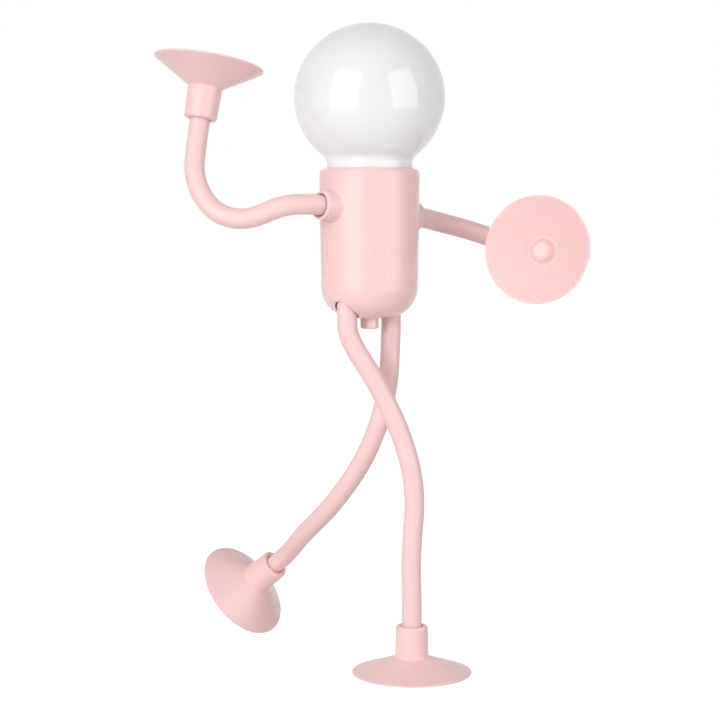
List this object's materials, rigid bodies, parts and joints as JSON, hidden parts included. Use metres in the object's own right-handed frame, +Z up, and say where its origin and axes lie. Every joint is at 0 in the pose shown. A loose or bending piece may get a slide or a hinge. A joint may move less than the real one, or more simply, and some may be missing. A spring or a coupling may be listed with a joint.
{
  "type": "posable lamp with suction cup hands and feet",
  "caption": "Small posable lamp: an opal globe on a drum body with bendable wire-cored silicone arms and legs that end in suction cups, and a push button under the body.",
  "frame": {"origin": "centre of the standing foot's suction cup, on the surface it stands on", "axes": "+Z up; the XZ plane is the plane that the arms and legs are posed in, seen from -Y; the body's arm axis is turned 40 degrees about Z from X and slopes 5 degrees down towards the side arm"},
  "size_m": [0.1718, 0.1195, 0.2588],
  "materials": {
    "body_abs": "fine satin moulded ABS, pale rose",
    "button_abs": "smooth moulded ABS, pale rose",
    "sleeve_silicone": "matte extruded silicone, pale rose",
    "cup_silicone": "satin moulded silicone, pale rose",
    "opal_globe": "glossy opal white",
    "steel_wire": "drawn soft steel",
    "spring_steel": "plated spring steel",
    "zinc_screws": "zinc plated",
    "cell_can": "satin can",
    "black_abs": "moulded black ABS",
    "white_nylon": "moulded nylon",
    "fibre_board": "white solder mask on glass fibre board",
    "led_resin": "clear resin over yellow phosphor",
    "tinned_copper": "tinned copper wire"
  },
  "bodies": {
    "body": {"body_shell": "body_abs", "push_switch": "black_abs", "switch_board": "fibre_board", "board_screws": "zinc_screws", "board_leads": "tinned_copper", "cell_carrier": "black_abs", "cell_1": "cell_can", "cell_2": "cell_can", "cell_3": "cell_can", "spring_contacts": "spring_steel", "plate_contacts": "spring_steel", "led_board": "fibre_board", "led_board_screws": "zinc_screws", "leds": "led_resin", "wire_clips": "spring_steel", "raised_arm_shoulder_bend": "sleeve_silicone", "side_arm_shoulder_bend": "sleeve_silicone", "standing_leg_hip_bend": "sleeve_silicone", "lifted_leg_hip_bend": "sleeve_silicone"},
    "globe": {"globe": "opal_globe"},
    "button": {"button": "button_abs", "switch_plunger": "white_nylon"},
    "raised_upper_arm": {"raised_arm_upper": "sleeve_silicone", "raised_arm_elbow_bend": "sleeve_silicone", "raised_arm_wire": "steel_wire"},
    "raised_forearm": {"raised_arm_forearm": "sleeve_silicone", "raised_arm_wrist_bend": "sleeve_silicone"},
    "raised_hand": {"raised_hand_cup": "cup_silicone"},
    "side_upper_arm": {"side_arm_upper": "sleeve_silicone", "side_arm_elbow_bend": "sleeve_silicone", "side_arm_wire": "steel_wire"},
    "side_forearm": {"side_arm_forearm": "sleeve_silicone", "side_arm_wrist_bend": "sleeve_silicone"},
    "side_hand": {"side_hand_cup": "cup_silicone"},
    "standing_thigh": {"standing_leg_thigh": "sleeve_silicone", "standing_leg_knee_bend": "sleeve_silicone", "standing_leg_wire": "steel_wire"},
    "standing_shin": {"standing_leg_shin": "sleeve_silicone", "standing_leg_ankle_bend": "sleeve_silicone"},
    "standing_foot": {"standing_foot_cup": "cup_silicone"},
    "lifted_thigh": {"lifted_leg_thigh": "sleeve_silicone", "lifted_leg_knee_bend": "sleeve_silicone", "lifted_leg_wire": "steel_wire"},
    "lifted_shin": {"lifted_leg_shin": "sleeve_silicone", "lifted_leg_ankle_bend": "sleeve_silicone"},
    "lifted_foot": {"lifted_foot_cup": "cup_silicone"}
  },
  "joints": [
    {"name": "globe_twist", "type": "hinge", "parent": "body", "child": "globe", "pos_m": [-0.017, 0.009, 0.2], "axis": [0, 0, 1], "range_deg": [-35, 0]},
    {"name": "button_press", "type": "slide", "parent": "body", "child": "button", "axis": [0, 0, 1], "range_m": [0, 0.0015], "stiffness_N_per_m": 1200, "springref_m": -0.0008},
    {"name": "raised_shoulder", "type": "hinge", "parent": "body", "child": "raised_upper_arm", "pos_m": [-0.0394, -0.0098, 0.18721], "axis": [0, 1, 0], "range_deg": [-35, 8], "deforming": ["raised_arm_shoulder_bend", "raised_arm_wire"]},
    {"name": "raised_elbow", "type": "hinge", "parent": "raised_upper_arm", "child": "raised_forearm", "pos_m": [-0.07895, -0.00441, 0.18424], "axis": [0, -1, 0], "range_deg": [-8, 30], "deforming": ["raised_arm_elbow_bend", "raised_arm_wire"]},
    {"name": "raised_wrist", "type": "hinge", "parent": "raised_forearm", "child": "raised_hand", "pos_m": [-0.0852, 0.00391, 0.21192], "axis": [0, 1, 0], "range_deg": [-40, 30], "deforming": ["raised_arm_wrist_bend", "raised_arm_wire"]},
    {"name": "side_shoulder", "type": "hinge", "parent": "body", "child": "side_upper_arm", "pos_m": [0.0054, 0.0278, 0.18199], "axis": [0, 1, 0], "range_deg": [-25, 30], "deforming": ["side_arm_shoulder_bend", "side_arm_wire"]},
    {"name": "side_elbow", "type": "hinge", "parent": "side_upper_arm", "child": "side_forearm", "pos_m": [0.04494, 0.05041, 0.17016], "axis": [0, 0, 1], "range_deg": [-15, 30], "deforming": ["side_arm_elbow_bend", "side_arm_wire"]},
    {"name": "side_wrist", "type": "hinge", "parent": "side_forearm", "child": "side_hand", "pos_m": [0.06172, 0.03447, 0.16625], "axis": [0, 0, 1], "range_deg": [-20, 40], "deforming": ["side_arm_wrist_bend", "side_arm_wire"]},
    {"name": "standing_hip", "type": "hinge", "parent": "body", "child": "standing_thigh", "pos_m": [-0.02583, -0.00081, 0.1349], "axis": [0, 1, 0], "range_deg": [-15, 20], "deforming": ["standing_leg_hip_bend", "standing_leg_wire"]},
    {"name": "standing_knee", "type": "hinge", "parent": "standing_thigh", "child": "standing_shin", "pos_m": [-0.00353, 0.00009, 0.095], "axis": [0, 1, 0], "range_deg": [-25, 35], "deforming": ["standing_leg_knee_bend", "standing_leg_wire"]},
    {"name": "standing_ankle", "type": "hinge", "parent": "standing_shin", "child": "standing_foot", "pos_m": [0, 0, 0.0282], "axis": [0, 1, 0], "range_deg": [-30, 30], "deforming": ["standing_leg_ankle_bend", "standing_leg_wire"]},
    {"name": "lifted_hip", "type": "hinge", "parent": "body", "child": "lifted_thigh", "pos_m": [-0.00817, 0.01881, 0.1349], "axis": [0, 1, 0], "range_deg": [-25, 25], "deforming": ["lifted_leg_hip_bend", "lifted_leg_wire"]},
    {"name": "lifted_knee", "type": "hinge", "parent": "lifted_thigh", "child": "lifted_shin", "pos_m": [-0.01807, 0.02191, 0.084], "axis": [0, 1, 0], "range_deg": [-30, 35], "deforming": ["lifted_leg_knee_bend", "lifted_leg_wire"]},
    {"name": "lifted_ankle", "type": "hinge", "parent": "lifted_shin", "child": "lifted_foot", "pos_m": [-0.05194, 0.06225, 0.03651], "axis": [0, 1, 0], "range_deg": [-40, 40], "deforming": ["lifted_leg_ankle_bend", "lifted_leg_wire"]}
  ]
}
